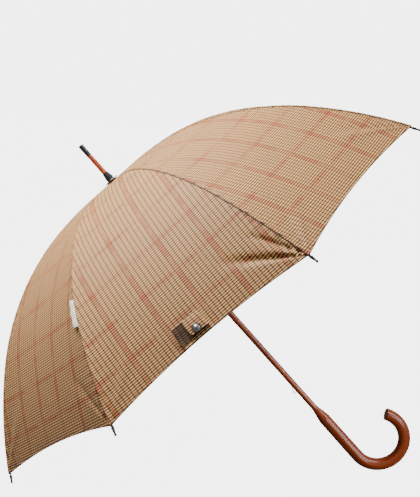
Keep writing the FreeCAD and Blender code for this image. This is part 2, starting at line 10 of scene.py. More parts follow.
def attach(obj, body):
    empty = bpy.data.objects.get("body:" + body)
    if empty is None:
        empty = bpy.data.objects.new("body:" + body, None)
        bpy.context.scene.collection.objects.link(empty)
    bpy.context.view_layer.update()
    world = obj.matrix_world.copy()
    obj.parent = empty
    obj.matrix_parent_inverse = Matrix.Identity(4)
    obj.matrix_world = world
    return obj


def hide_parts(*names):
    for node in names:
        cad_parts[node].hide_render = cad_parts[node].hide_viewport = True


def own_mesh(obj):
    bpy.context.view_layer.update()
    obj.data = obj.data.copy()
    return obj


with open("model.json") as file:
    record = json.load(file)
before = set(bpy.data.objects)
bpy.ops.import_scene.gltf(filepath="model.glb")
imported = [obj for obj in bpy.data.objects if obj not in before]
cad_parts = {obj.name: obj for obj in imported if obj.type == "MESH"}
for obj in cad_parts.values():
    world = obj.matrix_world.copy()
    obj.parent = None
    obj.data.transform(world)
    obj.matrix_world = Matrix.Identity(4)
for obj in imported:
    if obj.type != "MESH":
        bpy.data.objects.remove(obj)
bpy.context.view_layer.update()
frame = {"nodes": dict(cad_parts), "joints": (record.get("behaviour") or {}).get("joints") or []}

# ---------------------------------------------------------------- the umbrella's own axes
# Origin at the crown, UP along the stick to the ferrule, OPEN the side the crook opens to.
MM = 0.001
RIBS = 8
FIRST_RIB_DEG = 22.5
PITCH_DEG = 360 / RIBS
HALF_PITCH = math.radians(PITCH_DEG / 2)
RIB_PIVOT = (9.5 * MM, -4.5 * MM)
RIB_START_DEG = 4.0
RIB_ARCS = ((120 * MM, 11.0), (125 * MM, 16.2), (160 * MM, 20.1), (182 * MM, 13.4))
RIB_LENGTH = sum(length for length, _turn in RIB_ARCS)

joints = {joint["name"]: joint for joint in frame["joints"]}
UP = -np.array(joints["runner_slide"]["axis"], float)
SIDE = np.array(joints["top_catch_press"]["axis"], float)
OPEN = np.cross(SIDE, UP)
hinges = [joints[f"rib_hinge_{number}"]["pos_m"] for number in range(1, RIBS + 1)]
ORIGIN = np.mean(hinges, axis=0) - UP * RIB_PIVOT[1]


def place(x, y, z):
    """A point given along the umbrella's own axes, in the row frame."""
    return ORIGIN + np.multiply.outer(x, OPEN) + np.multiply.outer(y, SIDE) + np.multiply.outer(z, UP)


def radial(degrees):
    """The direction away from the stick at an angle round it."""
    angle = math.radians(degrees)
    return OPEN * math.cos(angle) + SIDE * math.sin(angle)


def tangent(degrees):
    """The direction round the stick at an angle."""
    return radial(degrees + 90)


def rib_angle(number):
    """The angle of a rib round the stick, in degrees."""
    return FIRST_RIB_DEG + PITCH_DEG * (number - 1)


def rib_curve(along, above):
    """Radius, height and heading on a rib at distances along it, at a height above its middle."""
    along = np.asarray(along, float)
    r = np.full(along.shape, RIB_PIVOT[0])
    z = np.full(along.shape, RIB_PIVOT[1])
    heading = np.full(along.shape, math.radians(RIB_START_DEG))
    passed = 0.0
    for number, (length, turn) in enumerate(RIB_ARCS):
        most = math.inf if number == len(RIB_ARCS) - 1 else length
        step = np.clip(along - passed, 0 if number else -math.inf, most)
        bend = length / math.radians(turn)
        end = heading - step / bend
        r = r + bend * (np.sin(heading) - np.sin(end))
        z = z + bend * (np.cos(end) - np.cos(heading))
        heading = end
        passed += length
    return r - above * np.sin(heading), z + above * np.cos(heading), heading


# ---------------------------------------------------------------- cloth shape
CLOTH_TOP = 2.85 * MM
CLOTH_THICK = 0.35 * MM
CLOTH_START = 1.0 * MM
CLOTH_END = RIB_LENGTH - 2 * MM
CROWN_SPLIT = 60 * MM
SHOULDER_SPLIT = 140 * MM
FLEX_AT = 253 * MM
SKIRT_SPLIT = 419 * MM
HEM_FROM = 440 * MM
SCALLOP = 14 * MM
SCALLOP_SHARE = 0.66
HEM_BAND = 7 * MM
HEM_EXTRA = 0.5 * MM
HEM_EASE = 0.2
# Extra rows of the grid across the hem's fold, as shares of the band above the edge.
HEM_ROWS = np.array([1, 0.82, 0.06])
SAG = 3.5 * MM
SAG_SPAN = 0.62
SAG_POWER = 1.5
GRID = 4.6 * MM
NORMAL_STEP = 0.8 * MM
HEADING_STEP = 0.1 * MM
CHECK_SHIFT = (17.3 * MM, 7.1 * MM)
# Each strip of cloth: where it starts and ends, the rib part it rides on, and how much of its width
# is left when the umbrella is shut.
STRIPS = ((CLOTH_START, CROWN_SPLIT, "rib", 0.46), (CROWN_SPLIT, SHOULDER_SPLIT, "rib", 0.3),
          (SHOULDER_SPLIT, FLEX_AT, "rib", 0.19), (FLEX_AT, SKIRT_SPLIT, "rib_end", 0.125),
          (SKIRT_SPLIT, CLOTH_END, "rib_end", 0.11))
LAST_STRIP = len(STRIPS) - 1


def half_width(along):
    """Half the width of a panel at a distance along its ribs."""
    return rib_curve(along, CLOTH_TOP)[0] * math.sin(HALF_PITCH)


def hem_radius():
    """Radius of the curved cut of the hem."""
    half = float(half_width(CLOTH_END))
    return (half ** 2 + SCALLOP ** 2) / (2 * SCALLOP)


def hem_rise(share):
    """How far the hem is cut back above the tips, at a share of the half width."""
    radius = hem_radius()
    half = float(half_width(CLOTH_END))
    return np.sqrt(radius ** 2 - (share * half) ** 2) - (radius - SCALLOP)


def smooth(x):
    """0 below 0 and 1 above 1, with an easy curve between."""
    x = np.clip(x, 0, 1)
    return x * x * (3 - 2 * x)


def cut_along(row, share):
    """Distance along the rib of a row of the grid: rows close up towards the scalloped hem."""
    return row - hem_rise(share) * smooth((row - HEM_FROM) / (CLOTH_END - HEM_FROM))


# Folds that run from a rib tip into a panel: panel, which tip, angle from the rib, length, depth, spread.
FOLDS = [(6, 1, 10.0, 44 * MM, -4.6 * MM, 3.4), (6, 1, 22.0, 36 * MM, 1.2 * MM, 4.0),
         (6, 1, 33.0, 60 * MM, -4.6 * MM, 4.4), (7, 1, 20.0, 60 * MM, -2.6 * MM, 5.0),
         (7, 1, 31.0, 70 * MM, 2.2 * MM, 5.0), (5, 1, 22.0, 60 * MM, -2.0 * MM, 5.0)]
# The remaining tips have two faint folds each: added lean, length, depth, spread.
FAINT_FOLDS = ((0.0, 55 * MM, -1.5 * MM, 5.0), (13.0, 60 * MM, 1.2 * MM, 5.0))
FAINT_LEAN = 17
FAINT_LEAN_CHANGE = 5
deep_folds = {fold[:2] for fold in FOLDS}
for panel in range(1, RIBS + 1):
    for tip in (-1, 1):
        if (panel, tip) not in deep_folds:
            lean = FAINT_LEAN + FAINT_LEAN_CHANGE * math.sin(panel * 2.3 + tip)
            FOLDS += [(panel, tip, lean + more, *rest) for more, *rest in FAINT_FOLDS]
FOLD_CLEAR = 6 * MM
FOLD_POWER = 0.8
FOLD_END = 2.6
PUCKER = 0.55 * MM
PUCKER_PITCH = 17 * MM
PUCKER_REACH = 16 * MM
PUCKER_CLEAR = 4 * MM
PUCKER_FROM = 0.1
PUCKER_EASE = 0.3


def relief(panel, along, across):
    """Height of the cloth above its taut surface: sag between ribs, puckers and tip folds."""
    half = half_width(along)
    share = np.clip(np.abs(across) / half, 0, 1)
    span = np.clip(along / CLOTH_END, 0, 1)
    lift = -SAG * (1 - share ** 2) * np.sin(span * math.pi * SAG_SPAN) ** SAG_POWER
    from_seam = half - np.abs(across)
    wave = np.sin(along * 2 * math.pi / PUCKER_PITCH + 1.7 * np.sin(along * 41 + panel) + np.sign(across))
    near = np.exp(-from_seam / PUCKER_REACH) * smooth(from_seam / PUCKER_CLEAR)
    lift = lift + PUCKER * wave * near * smooth((span - PUCKER_FROM) / PUCKER_EASE)
    corner = float(half_width(CLOTH_END))
    for number, tip, lean, length, depth, spread in FOLDS:
        if number != panel:
            continue
        down = CLOTH_END - along
        inward = corner - tip * across
        seam_lean = math.atan2(corner, CLOTH_END)
        reach = np.hypot(down, inward)
        angle = np.degrees(np.arctan2(inward, down) - seam_lean)
        size = (reach / length) ** FOLD_POWER * np.exp(FOLD_POWER * (1 - reach / length))
        size = size * smooth((FOLD_END * length - reach) / length)
        profile = np.exp(-((angle - lean) / spread) ** 2)
        lift = lift + depth * size * profile * smooth(from_seam / FOLD_CLEAR)
    return lift


def cloth_point(panel, along, across):
    """A point of the cloth's outer face."""
    middle = rib_angle(panel) + PITCH_DEG / 2
    r, z, _heading = rib_curve(along, CLOTH_TOP)
    ahead_r, ahead_z, _heading = rib_curve(np.asarray(along) + HEADING_STEP, CLOTH_TOP)
    run = (ahead_r - r) * math.cos(HALF_PITCH)
    fall = ahead_z - z
    size = np.hypot(run, fall)
    lift = relief(panel, along, across)
    x = r * math.cos(HALF_PITCH) - fall / size * lift
    high = z + run / size * lift
    return (ORIGIN + np.multiply.outer(x, radial(middle)) + np.multiply.outer(across, tangent(middle))
            + np.multiply.outer(high, UP))


def unit(vectors):
    """Vectors brought to length 1."""
    return vectors / np.linalg.norm(vectors, axis=-1, keepdims=True)


def grid_normals(points):
    """Normals of a grid of points."""
    return unit(np.cross(np.gradient(points, axis=0), np.gradient(points, axis=1)))


def cloth_normal(panel, along, across):
    """The outward normal of the cloth, from neighbouring points of its formula."""
    step = NORMAL_STEP
    limit = half_width(along) - step
    mid = np.clip(across, -limit, limit)
    along_way = cloth_point(panel, along + step, mid) - cloth_point(panel, along - step, mid)
    across_way = cloth_point(panel, along, mid + step) - cloth_point(panel, along, mid - step)
    return unit(np.cross(along_way, across_way))


def centre_lengths():
    """A table from distance along the rib to distance down the panel's middle line."""
    along = np.linspace(0, RIB_LENGTH, 400)
    r, z, _heading = rib_curve(along, CLOTH_TOP)
    steps = np.hypot(np.diff(r) * math.cos(HALF_PITCH), np.diff(z))
    return along, np.concatenate([[0], np.cumsum(steps)])


CENTRE = centre_lengths()


def grid_mesh(name, points, normals, uv, edge, thick):
    """A closed thin sheet from a grid of outer points: both faces and the four rims."""
    rows, columns = points.shape[:2]
    inner = points - normals * thick[..., None]
    verts = np.concatenate([points.reshape(-1, 3), inner.reshape(-1, 3)])
    count = rows * columns
    index = np.arange(count).reshape(rows, columns)
    quads = np.stack([index[:-1, :-1], index[1:, :-1], index[1:, 1:], index[:-1, 1:]], -1).reshape(-1, 4)
    below = quads[:, ::-1] + count
    rim = np.concatenate([index[0, :], index[1:, -1], index[-1, -2::-1], index[-2:0:-1, 0]])
    after = np.roll(rim, -1)
    sides = np.stack([rim, after, after + count, rim + count], -1)
    faces = np.concatenate([quads, below, sides])
    mesh = bpy.data.meshes.new(name)
    mesh.from_pydata(verts.tolist(), [], faces.tolist())
    cloth_map_values = np.concatenate([uv.reshape(-1, 2)] * 2)
    edges_map_values = np.concatenate([edge.reshape(-1, 2)] * 2)
    corner = np.empty(len(mesh.loops), np.int32)
    mesh.loops.foreach_get("vertex_index", corner)
    for label, values in (("cloth", cloth_map_values), ("edges", edges_map_values)):
        layer = mesh.uv_layers.new(name=label)
        layer.data.foreach_set("uv", values[corner].astype(np.float32).ravel())
    first_side = 2 * len(quads)
    smooth_faces = np.ones(len(mesh.polygons), bool)
    smooth_faces[first_side:] = False
    mesh.polygons.foreach_set("use_smooth", smooth_faces)
    loop_normals = np.concatenate([normals.reshape(-1, 3), -normals.reshape(-1, 3)])[corner]
    flat_sides = np.array([side.normal for side in mesh.polygons[first_side:]])
    loop_normals[4 * first_side:] = np.repeat(flat_sides, 4, axis=0)
    mesh.normals_split_custom_set(loop_normals.tolist())
    piece = bpy.data.objects.new(name, mesh)
    bpy.context.scene.collection.objects.link(piece)
    return piece


def cloth_strip(number, side, strip, rows_from, rows_to):
    """The cloth beside a rib between two distances along it: b towards the next rib, a on the other side."""
    panel = number if side > 0 else (number - 2) % RIBS + 1
    rows = np.linspace(rows_from, rows_to, max(3, round((rows_to - rows_from) / GRID) + 1))
    if strip == LAST_STRIP:
        rows = np.unique(np.concatenate([rows, CLOTH_END - HEM_ROWS * HEM_BAND]))
    columns = round(float(half_width(CLOTH_END)) / GRID)
    share = np.linspace(0, 1, columns + 1)
    row_grid, share_grid = np.meshgrid(rows, share, indexing="ij")
    along = cut_along(row_grid, share_grid)
    across = -side * share_grid * half_width(along)
    if side > 0:
        along, across, row_grid = (item[:, ::-1] for item in (along, across, row_grid))
    points = cloth_point(panel, along, across)
    normals = cloth_normal(panel, along, across)
    to_hem = CLOTH_END - row_grid
    band = smooth((HEM_BAND - to_hem) / (HEM_EASE * HEM_BAND)) * (strip == LAST_STRIP)
    points = points + normals * (band * HEM_EXTRA)[..., None]
    thick = CLOTH_THICK + band * HEM_EXTRA * 2
    down = np.interp(along, *CENTRE)
    uv = np.stack([across + panel * CHECK_SHIFT[0], down + panel * CHECK_SHIFT[1]], -1)
    # Distances to the hem and to the seam: they place the stitching, the painted shade along the hem's edge
    # and the painted shadow beside the seams.
    edge = np.stack([to_hem, half_width(along) - np.abs(across)], -1)
    half = "b" if side > 0 else "a"
    return grid_mesh(f"canopy_{number}_{half}{strip + 1}", points, normals, uv, edge, thick)


# ---------------------------------------------------------------- node helpers
class Nodes:
    """A short way to write a material's node tree."""

    def __init__(self, name):
        self.material = bpy.data.materials.new(name)
        self.material.use_nodes = True
        self.tree = self.material.node_tree
        self.shader = self.tree.nodes["Principled BSDF"]

    def add(self, kind, **settings):
        node = self.tree.nodes.new(kind)
        for key, value in settings.items():
            setattr(node, key, value)
        return node

    def feed(self, socket, value):
        if isinstance(value, bpy.types.NodeSocket):
            self.tree.links.new(value, socket)
        else:
            socket.default_value = value

    def math(self, operation, first, second=0.0, clamp=False):
        node = self.add("ShaderNodeMath", operation=operation, use_clamp=clamp)
        self.feed(node.inputs[0], first)
        self.feed(node.inputs[1], second)
        return node.outputs[0]

    def ramp(self, value, low, high):
        """0 below low and 1 above high, smoothly."""
        node = self.add("ShaderNodeMapRange", interpolation_type="SMOOTHSTEP")
        self.feed(node.inputs["Value"], value)
        node.inputs["From Min"].default_value = low
        node.inputs["From Max"].default_value = high
        return node.outputs["Result"]

    def mix(self, share, first, second, blend="MIX"):
        node = self.add("ShaderNodeMix", data_type="RGBA", blend_type=blend)
        self.feed(node.inputs["Factor"], share)
        self.feed(node.inputs["A"], first)
        self.feed(node.inputs["B"], second)
        return node.outputs["Result"]

    def noise(self, vector, scale, detail=3.0, rough=0.55, distortion=0.0):
        node = self.add("ShaderNodeTexNoise")
        self.feed(node.inputs["Vector"], vector)
        node.inputs["Scale"].default_value = scale
        node.inputs["Detail"].default_value = detail
        node.inputs["Roughness"].default_value = rough
        node.inputs["Distortion"].default_value = distortion
        return node.outputs["Fac"]

    def bump(self, height, distance, strength=1.0, normal=None):
        node = self.add("ShaderNodeBump")
        self.feed(node.inputs["Height"], height)
        node.inputs["Distance"].default_value = distance
        node.inputs["Strength"].default_value = strength
        if normal:
            self.feed(node.inputs["Normal"], normal)
        return node.outputs["Normal"]

    def stripe(self, position, pitch, width, soft, offset=0.0):
        """1 on lines of a width at every pitch, 0 between them."""
        shifted = self.math("ADD", position, offset + 40 * pitch)
        wave = self.math("PINGPONG", shifted, pitch / 2)
        return self.math("SUBTRACT", 1.0, self.ramp(wave, width / 2 - soft, width / 2 + soft))


def srgb(red, green, blue):
    """A colour given as 0 to 255 on screen, as the shader wants it."""
    values = [c / 255 for c in (red, green, blue)]
    return tuple(c / 12.92 if c <= 0.04045 else ((c + 0.055) / 1.055) ** 2.4 for c in values) + (1.0,)


# ---------------------------------------------------------------- materials
CREAM = srgb(236, 182, 120)
OLIVE = srgb(66, 25, 9)
BROWN = srgb(30, 13, 5)
RED = srgb(196, 44, 34)
CREAM_WARM = srgb(214, 160, 94)
STITCHING = srgb(104, 76, 52)
EDGE_SHADE = srgb(40, 24, 16)
FINE_PITCH = 4.2 * MM
FINE_WIDE = 2.1 * MM
LINE_PITCH = 8.4 * MM
LINE_WIDE = 1.35 * MM
LINE_SOFT = 0.35 * MM
PANE_PITCH = 67.2 * MM
PANE_BAND = 6.6 * MM
PANE_SOFT = 1.6 * MM
THREAD = 0.42 * MM
STITCH_FROM_HEM = 5.4 * MM
STITCH_WIDE = 0.5 * MM
STITCH_PITCH = 3.0 * MM
STITCH_LONG = 2.1 * MM
# Painted shade along the hem's edge, standing in for the shade of the folded hem.
HEM_SHADE_BAND = (0.9 * MM, 1.7 * MM)
# Painted shadow beside each seam, standing in for the shadow of the folded seam.
SEAM_SHADOW_BAND = (3.2 * MM, 4.4 * MM)


def cloth_map(n, name):
    """The two measures held in one of a sheet's maps, and the map itself."""
    chosen = n.add("ShaderNodeUVMap", uv_map=name)
    parts = n.add("ShaderNodeSeparateXYZ")
    n.feed(parts.inputs[0], chosen.outputs[0])
    return parts.outputs["X"], parts.outputs["Y"], chosen.outputs[0]


def woven_threads(n, across, down):
    """The height of a plain weave's crossing threads, from -1 to 1."""
    over = n.math("SINE", n.math("MULTIPLY", across, 2 * math.pi / THREAD))
    under = n.math("SINE", n.math("MULTIPLY", down, 2 * math.pi / THREAD))
    return n.math("MULTIPLY", over, under)


def check_pattern(n, across, down, dye):
    """The dyed colours: cream ground, broken red panes, fine olive lines, dark brown lines."""
    colour = n.mix(n.math("MULTIPLY", dye, 0.35), CREAM, CREAM_WARM)
    down_pane = n.stripe(down, PANE_PITCH, PANE_BAND, PANE_SOFT)
    down_dye = n.math("MULTIPLY", n.ramp(dye, 0.3, 0.62), 0.4)
    colour = n.mix(n.math("MULTIPLY", down_pane, down_dye), colour, RED)
    across_pane = n.stripe(across, PANE_PITCH, PANE_BAND, PANE_SOFT, LINE_PITCH / 2)
    across_dye = n.math("ADD", 0.22, n.math("MULTIPLY", n.ramp(dye, 0.36, 0.6), 0.32))
    colour = n.mix(n.math("MULTIPLY", across_pane, across_dye), colour, RED)
    weft = n.stripe(down, FINE_PITCH, FINE_WIDE, LINE_SOFT)
    colour = n.mix(n.math("MULTIPLY", weft, 0.92), colour, OLIVE)
    warp = n.stripe(across, LINE_PITCH, LINE_WIDE, LINE_SOFT)
    return n.mix(n.math("MULTIPLY", warp, 0.88), colour, BROWN)


def check_cloth(name, shade=1.0):
    """Woven check with its hem stitching, painted shade along the hem's edge and painted shadow beside the
    seams; shade below 1 darkens the whole check into a copy in painted shade.
    """
    n = Nodes(name)
    across, down, where = cloth_map(n, "cloth")
    to_hem, to_seam, _map = cloth_map(n, "edges")
    colour = check_pattern(n, across, down, n.noise(where, 26.0, 4.0))
    weave = woven_threads(n, across, down)
    slub = n.noise(where, 1400.0, 2.0)
    tone = n.math("ADD", n.math("MULTIPLY", weave, 0.05), n.math("ADD", n.math("MULTIPLY", slub, 0.12), 0.9))
    shaded = n.add("ShaderNodeVectorMath", operation="SCALE")
    n.feed(shaded.inputs[0], colour)
    n.feed(shaded.inputs["Scale"], n.math("MULTIPLY", tone, shade))
    on_line = n.stripe(n.math("SUBTRACT", to_hem, STITCH_FROM_HEM), 1.0, STITCH_WIDE, 0.12 * MM)
    dashes = n.stripe(across, STITCH_PITCH, STITCH_LONG, 0.2 * MM)
    stitch = n.math("MULTIPLY", on_line, dashes)
    final = n.mix(n.math("MULTIPLY", stitch, 0.8), shaded.outputs[0], STITCHING)
    # Painted shade: a dark line along the hem's edge.
    hem_shade = n.math("SUBTRACT", 1.0, n.ramp(to_hem, *HEM_SHADE_BAND))
    # Painted shadow: a wider dark band beside each seam.
    seam_shadow = n.math("SUBTRACT", 1.0, n.ramp(to_seam, *SEAM_SHADOW_BAND))
    dark = n.math("MAXIMUM", n.math("MULTIPLY", hem_shade, 0.8), n.math("MULTIPLY", seam_shadow, 0.86))
    n.feed(n.shader.inputs["Base Color"], n.mix(dark, final, EDGE_SHADE))
    n.feed(n.shader.inputs["Roughness"], n.math("ADD", 0.5, n.math("MULTIPLY", slub, 0.16)))
    n.shader.inputs["Sheen Weight"].default_value = 0.06
    n.shader.inputs["Sheen Roughness"].default_value = 0.4
    n.shader.inputs["Specular IOR Level"].default_value = 0.2
    height = n.math("ADD", n.math("MULTIPLY", weave, 0.5), n.math("MULTIPLY", slub, 0.6))
    height = n.math("SUBTRACT", height, n.math("MULTIPLY", stitch, 2.0))
    n.feed(n.shader.inputs["Normal"], n.bump(height, 0.06 * MM, 0.7))
    return n.material


CROOK_Z = -723 * MM
CROOK_MID_R = 52.4 * MM
# Past this turn round the crook, in radians, a place belongs to the shaft again.
HOOK_END_TURN = 4.5
CLEAR_OF_SHAFT = 20 * MM


def stick_axes(n):
    """Position across the grain and along it, following the bend of the crook."""
    where = n.add("ShaderNodeTexCoord")
    frame_place = n.add("ShaderNodeVectorMath", operation="SUBTRACT")
    n.feed(frame_place.inputs[0], where.outputs["Object"])
    frame_place.inputs[1].default_value = tuple(ORIGIN)
    parts = []
    for way in (OPEN, SIDE, UP):
        dot = n.add("ShaderNodeVectorMath", operation="DOT_PRODUCT")
        n.feed(dot.inputs[0], frame_place.outputs[0])
        dot.inputs[1].default_value = tuple(way)
        parts.append(dot.outputs["Value"])
    x, y, z = parts
    from_centre = n.math("SUBTRACT", x, CROOK_MID_R)
    under = n.math("SUBTRACT", z, CROOK_Z)
    turn = n.math("ARCTAN2", n.math("MULTIPLY", under, -1.0), n.math("MULTIPLY", from_centre, -1.0))
    turn = n.math("MODULO", n.math("ADD", turn, 2 * math.pi), 2 * math.pi)
    radius = n.math("SQRT", n.math("ADD", n.math("POWER", from_centre, 2.0), n.math("POWER", under, 2.0)))
    bent_along = n.math("MULTIPLY", turn, -CROOK_MID_R)
    bent_across = n.math("SUBTRACT", CROOK_MID_R, radius)
    past = n.math("LESS_THAN", turn, HOOK_END_TURN)
    below = n.math("LESS_THAN", under, 0.0)
    right = n.math("GREATER_THAN", x, CLEAR_OF_SHAFT)
    bent = n.math("MULTIPLY", n.math("MAXIMUM", below, right), past)
    straight = n.math("SUBTRACT", 1.0, bent)
    bent_z = n.math("ADD", bent_along, CROOK_Z)
    along = n.math("ADD", n.math("MULTIPLY", bent, bent_z), n.math("MULTIPLY", straight, z))
    across = n.math("ADD", n.math("MULTIPLY", bent, bent_across), n.math("MULTIPLY", straight, x))
    return across, y, along


WOOD_DARK = srgb(134, 46, 14)
WOOD_LIGHT = srgb(198, 88, 34)
WOOD_VEIN = srgb(66, 20, 8)
WOOD_PORE = srgb(42, 14, 8)
WOOD_CLOUD = srgb(160, 70, 26)
GRIP_TINT = srgb(168, 76, 28)
GRIP_TINT_FROM = 0.58
GRIP_TINT_FULL = 0.70


def grain_space(n, across, y, along, stretch):
    """A place in the wood for a noise, drawn out along the grain."""
    space = n.add("ShaderNodeCombineXYZ")
    n.feed(space.inputs[0], across)
    n.feed(space.inputs[1], y)
    n.feed(space.inputs[2], n.math("MULTIPLY", along, stretch))
    return space.outputs[0]


def lacquered_wood(name):
    """Reddish brown wood with long grain and pores under a clear gloss lacquer."""
    n = Nodes(name)
    across, y, along = stick_axes(n)
    grain = grain_space(n, across, y, along, 0.05)
    broad = n.noise(grain, 160.0, 4.0, 0.6, 0.6)
    fine = n.noise(grain, 1100.0, 3.0, 0.6)
    pores = n.ramp(n.noise(grain_space(n, across, y, along, 0.12), 2600.0, 1.0), 0.66, 0.76)
    cloud = n.noise(grain_space(n, across, 0.0, along, 1.0), 14.0, 2.0)
    colour = n.mix(n.ramp(broad, 0.3, 0.72), WOOD_DARK, WOOD_LIGHT)
    colour = n.mix(n.math("MULTIPLY", n.ramp(fine, 0.45, 0.75), 0.35), colour, WOOD_VEIN)
    colour = n.mix(n.math("MULTIPLY", pores, 0.7), colour, WOOD_PORE)
    colour = n.mix(n.math("MULTIPLY", n.ramp(cloud, 0.35, 0.7), 0.25), colour, WOOD_CLOUD)
    towards_grip = n.ramp(n.math("MULTIPLY", along, -1.0), GRIP_TINT_FROM, GRIP_TINT_FULL)
    colour = n.mix(n.math("MULTIPLY", towards_grip, 0.22), colour, GRIP_TINT)
    n.feed(n.shader.inputs["Base Color"], colour)
    n.feed(n.shader.inputs["Roughness"], n.math("ADD", 0.3, n.math("MULTIPLY", fine, 0.18)))
    n.shader.inputs["Specular IOR Level"].default_value = 0.15
    n.shader.inputs["Coat Weight"].default_value = 1.0
    n.shader.inputs["Coat Roughness"].default_value = 0.2
    n.shader.inputs["Coat IOR"].default_value = 1.5
    height = n.math("SUBTRACT", n.math("MULTIPLY", fine, 0.4), pores)
    n.feed(n.shader.inputs["Normal"], n.bump(height, 0.01 * MM, 0.12))
    return n.material


def metal(name, colour, worn, rough, metallic=1.0, coat=0.0):
    """Drawn or plated metal: fine scratches, blotches of wear and uneven gloss."""
    n = Nodes(name)
    where = n.add("ShaderNodeTexCoord").outputs["Object"]
    blotch = n.noise(where, 130.0, 5.0, 0.65)
    stretch = n.add("ShaderNodeMapping")
    n.feed(stretch.inputs["Vector"], where)
    stretch.inputs["Scale"].default_value = (60, 900, 900)
    scratch = n.noise(stretch.outputs[0], 3.0, 3.0)
    grime = n.noise(where, 900.0, 2.0)
    mixed = n.mix(n.math("MULTIPLY", n.ramp(blotch, 0.48, 0.72), 0.55), colour, worn)
    n.feed(n.shader.inputs["Base Color"], n.mix(n.math("MULTIPLY", grime, 0.25), mixed, colour))
    spread = n.math("MULTIPLY", n.math("ADD", blotch, scratch), 0.5)
    n.feed(n.shader.inputs["Roughness"], n.math("ADD", rough - 0.1, n.math("MULTIPLY", spread, 0.22)))
    n.shader.inputs["Metallic"].default_value = metallic
    n.shader.inputs["Coat Weight"].default_value = coat
    n.shader.inputs["Coat Roughness"].default_value = 0.15
    n.feed(n.shader.inputs["Normal"], n.bump(scratch, 0.015 * MM, 0.5))
    return n.material


def plain_weave(name, colour, thread_colour):
    """A plain weave with slightly uneven threads, such as undyed tape."""
    n = Nodes(name)
    across, down, where = cloth_map(n, "cloth")
    weave = n.math("ADD", n.math("MULTIPLY", woven_threads(n, across, down), 0.5), 0.5)
    slub = n.noise(where, 900.0, 3.0)
    mixed = n.mix(n.math("MULTIPLY", weave, 0.5), colour, thread_colour)
    n.feed(n.shader.inputs["Base Color"], n.mix(n.math("MULTIPLY", slub, 0.3), mixed, thread_colour))
    n.feed(n.shader.inputs["Roughness"], n.math("ADD", 0.7, n.math("MULTIPLY", slub, 0.2)))
    n.shader.inputs["Sheen Weight"].default_value = 0.2
    n.feed(n.shader.inputs["Normal"], n.bump(weave, 0.08 * MM, 0.8))
    return n.material


CLOTH = check_cloth("woven_check")
# The check's reverse side, darkened by painted shade, for the inside of the strap's curl.
CLOTH_BACK_PAINTED_SHADE = check_cloth("woven_check_reverse_painted_shade", 0.16)
WOOD = lacquered_wood("lacquered_wood")
ENAMEL = metal("black_enamel", srgb(22, 22, 24), srgb(40, 40, 42), 0.3, 0.0, 0.6)
BLUED = metal("blued_steel", srgb(66, 66, 72), srgb(104, 100, 98), 0.36)
BRIGHT = metal("bright_steel", srgb(176, 174, 170), srgb(140, 136, 130), 0.26)
SPRING = metal("spring_steel", srgb(92, 86, 80), srgb(58, 54, 50), 0.4, 0.5)
NICKEL = metal("nickel_plate", srgb(190, 186, 176), srgb(150, 144, 134), 0.22)
PEWTER = metal("pewter", srgb(150, 144, 142), srgb(96, 92, 92), 0.3)
TAPE = plain_weave("white_tape", srgb(236, 232, 220), srgb(206, 198, 182))
DARK_THREAD = metal("waxed_thread", srgb(40, 32, 28), srgb(60, 48, 40), 0.6, 0.0)

# ---------------------------------------------------------------- finishes of the CAD nodes that stay
FINISH = {"stick": WOOD, "ferrule_cap": ENAMEL, "ferrule_cone": ENAMEL, "rosette": ENAMEL,
          "top_notch": NICKEL, "runner": NICKEL, "top_spring": SPRING, "bottom_spring": SPRING,
          "shaft_pins": BRIGHT, "rib_inner": BLUED, "rib_outer": BLUED, "rib_tip": BLUED, "stretcher": BLUED}
for node_name, node in frame["nodes"].items():
    kind = node_name.rstrip("0123456789").rstrip("_")
    finish = FINISH.get(node_name) or FINISH.get(kind)
    if finish:
        for held in node.material_slots:
            held.material = finish


# ---------------------------------------------------------------- canopy pieces
def finish_piece(piece, material, body, slot_name, *nodes):
    """Give a piece its material and its body, and hide the CAD nodes it stands for; slot_name is not used."""
    piece.data.materials.append(material)
    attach(piece, body)
    if nodes:
        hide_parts(*nodes)


SEAM_WIDE = 4.6 * MM
SEAM_NARROW = 1.3 * MM
SEAM_LIFT = 0.75 * MM
SEAM_EDGE_LIFT = 0.05 * MM
SEAM_THICK = 0.3 * MM
SEAM_STEP = 4 * MM
SEAM_RIPPLE = 0.16
SEAM_RIPPLE_PITCH = 11 * MM
SEAM_START = 3 * MM
SEAM_END = 1 * MM
# Lines that run along the seam: side of the rib, distance from it, height above the cloth.
SEAM_LINES = ((-1, SEAM_NARROW, SEAM_EDGE_LIFT), (-1, 0.7 * SEAM_NARROW, 0.8 * SEAM_LIFT),
              (0, 0.0, SEAM_LIFT), (1, 0.5 * SEAM_WIDE, SEAM_LIFT), (1, 0.9 * SEAM_WIDE, 0.85 * SEAM_LIFT),
              (1, SEAM_WIDE, SEAM_EDGE_LIFT))
# The same lines in the check's map, from the wide edge to the narrow one, as shares of the wide side.
SEAM_SHARES = np.array([1.0, 0.9, 0.5, 0.0, -0.2, -0.28])
# A value in the edges map where neither the painted shade along the hem and seams nor the stitching reaches.
AWAY_FROM_EDGES = 0.05


